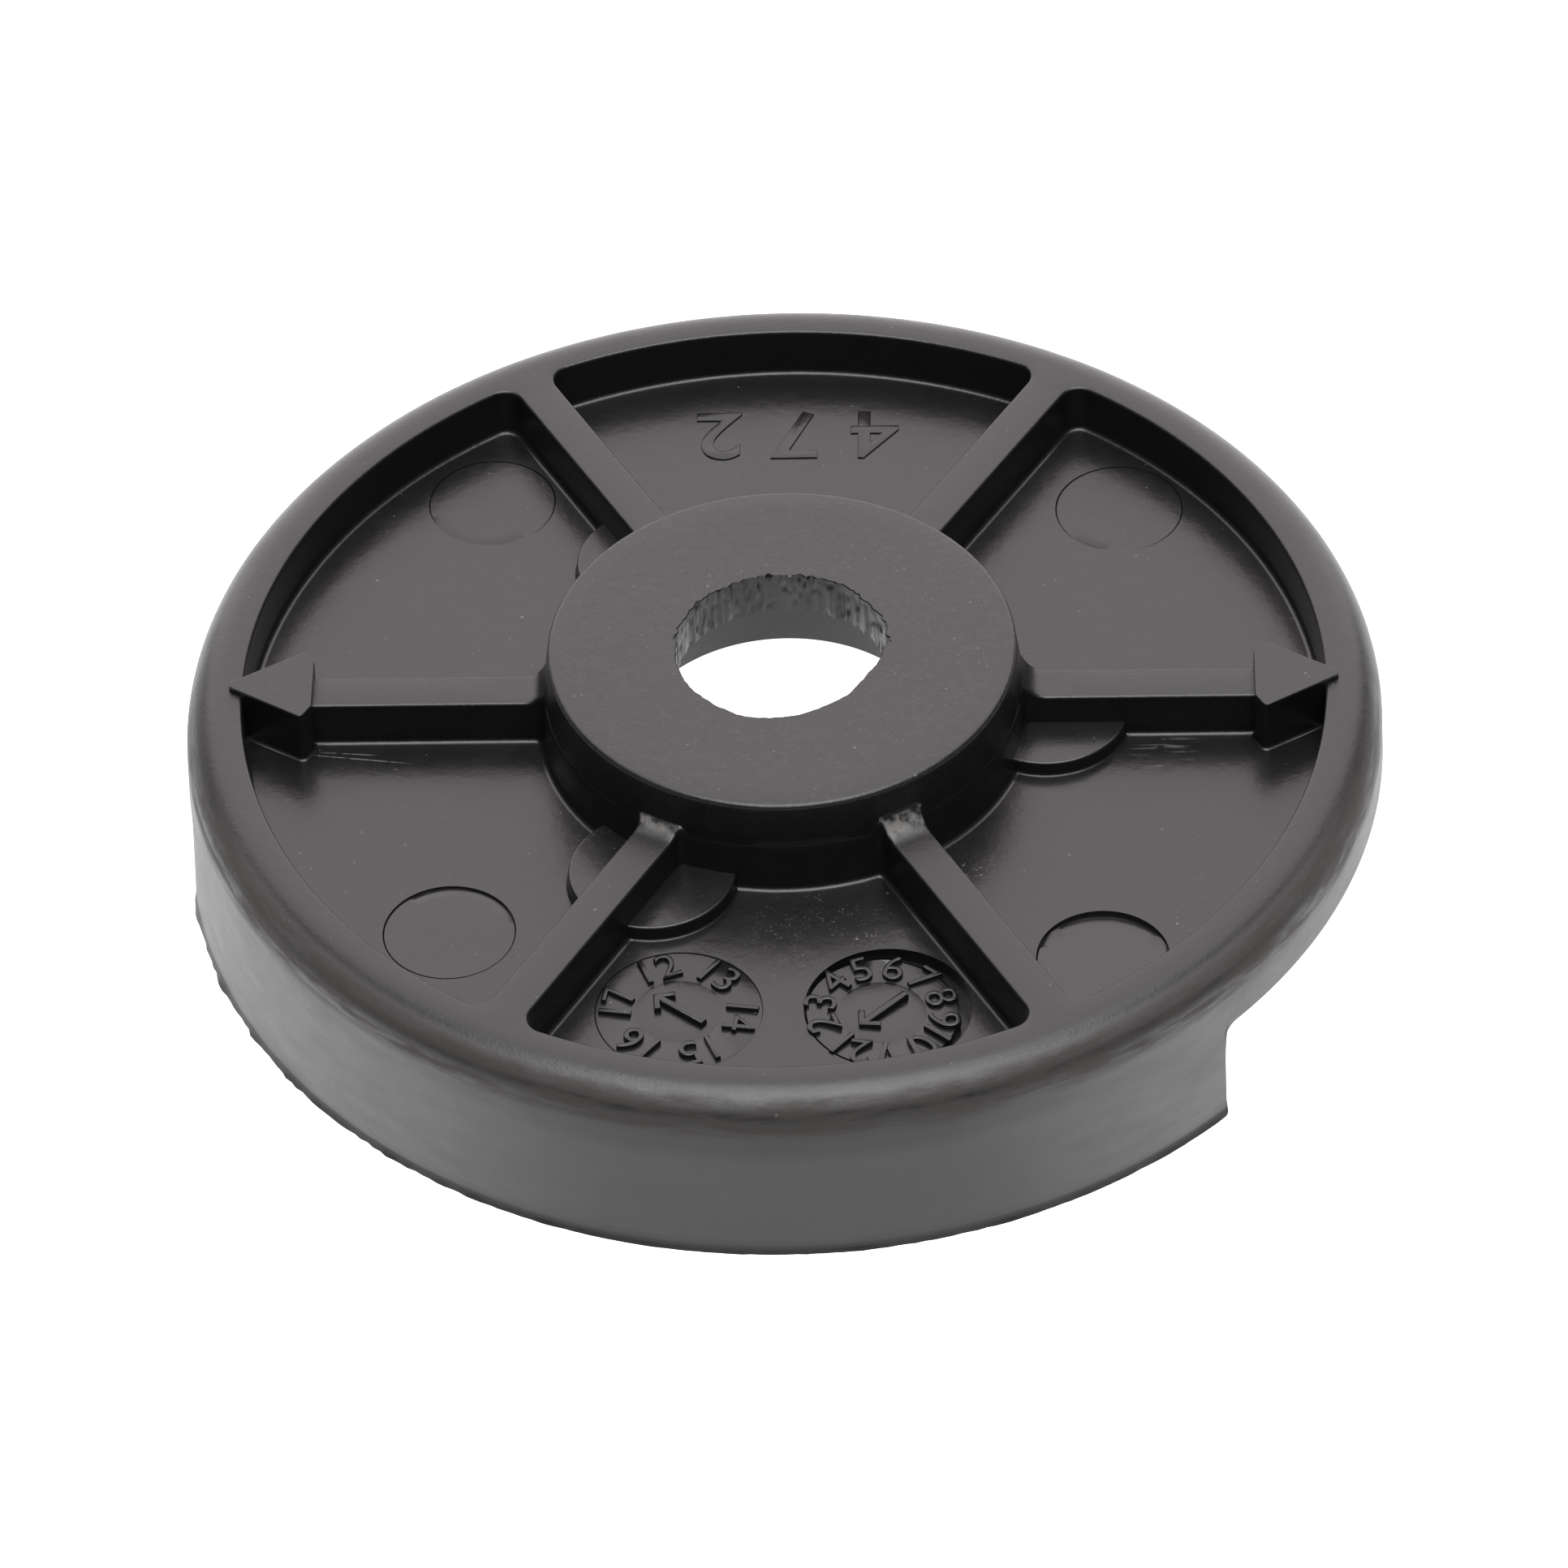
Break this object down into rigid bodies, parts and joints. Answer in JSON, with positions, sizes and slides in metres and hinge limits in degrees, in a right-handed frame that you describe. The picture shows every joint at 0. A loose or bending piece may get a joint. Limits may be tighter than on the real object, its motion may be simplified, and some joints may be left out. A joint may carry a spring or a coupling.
{
  "type": "spinner pointer disc",
  "caption": "Moulded plastic pointer disc: ribbed wheel with a double-ended arrow across its face, a raised hub with a plain bore, and a skirt in segments under the rim.",
  "frame": {"origin": "on the bore's axis, level with the foot of the skirt that the disc stands on", "axes": "+Z along the bore out of the ribbed face, +X along the arrow, +Y completes a right-handed frame; the pocket with the date dials is centred on -Y"},
  "size_m": [0.0366, 0.037, 0.0074],
  "materials": {
    "black_acetal": "satin black, fine spark-eroded grain on its faces, glossier pocket floors"
  },
  "bodies": {
    "root": {"disc": "black_acetal"}
  },
  "joints": []
}
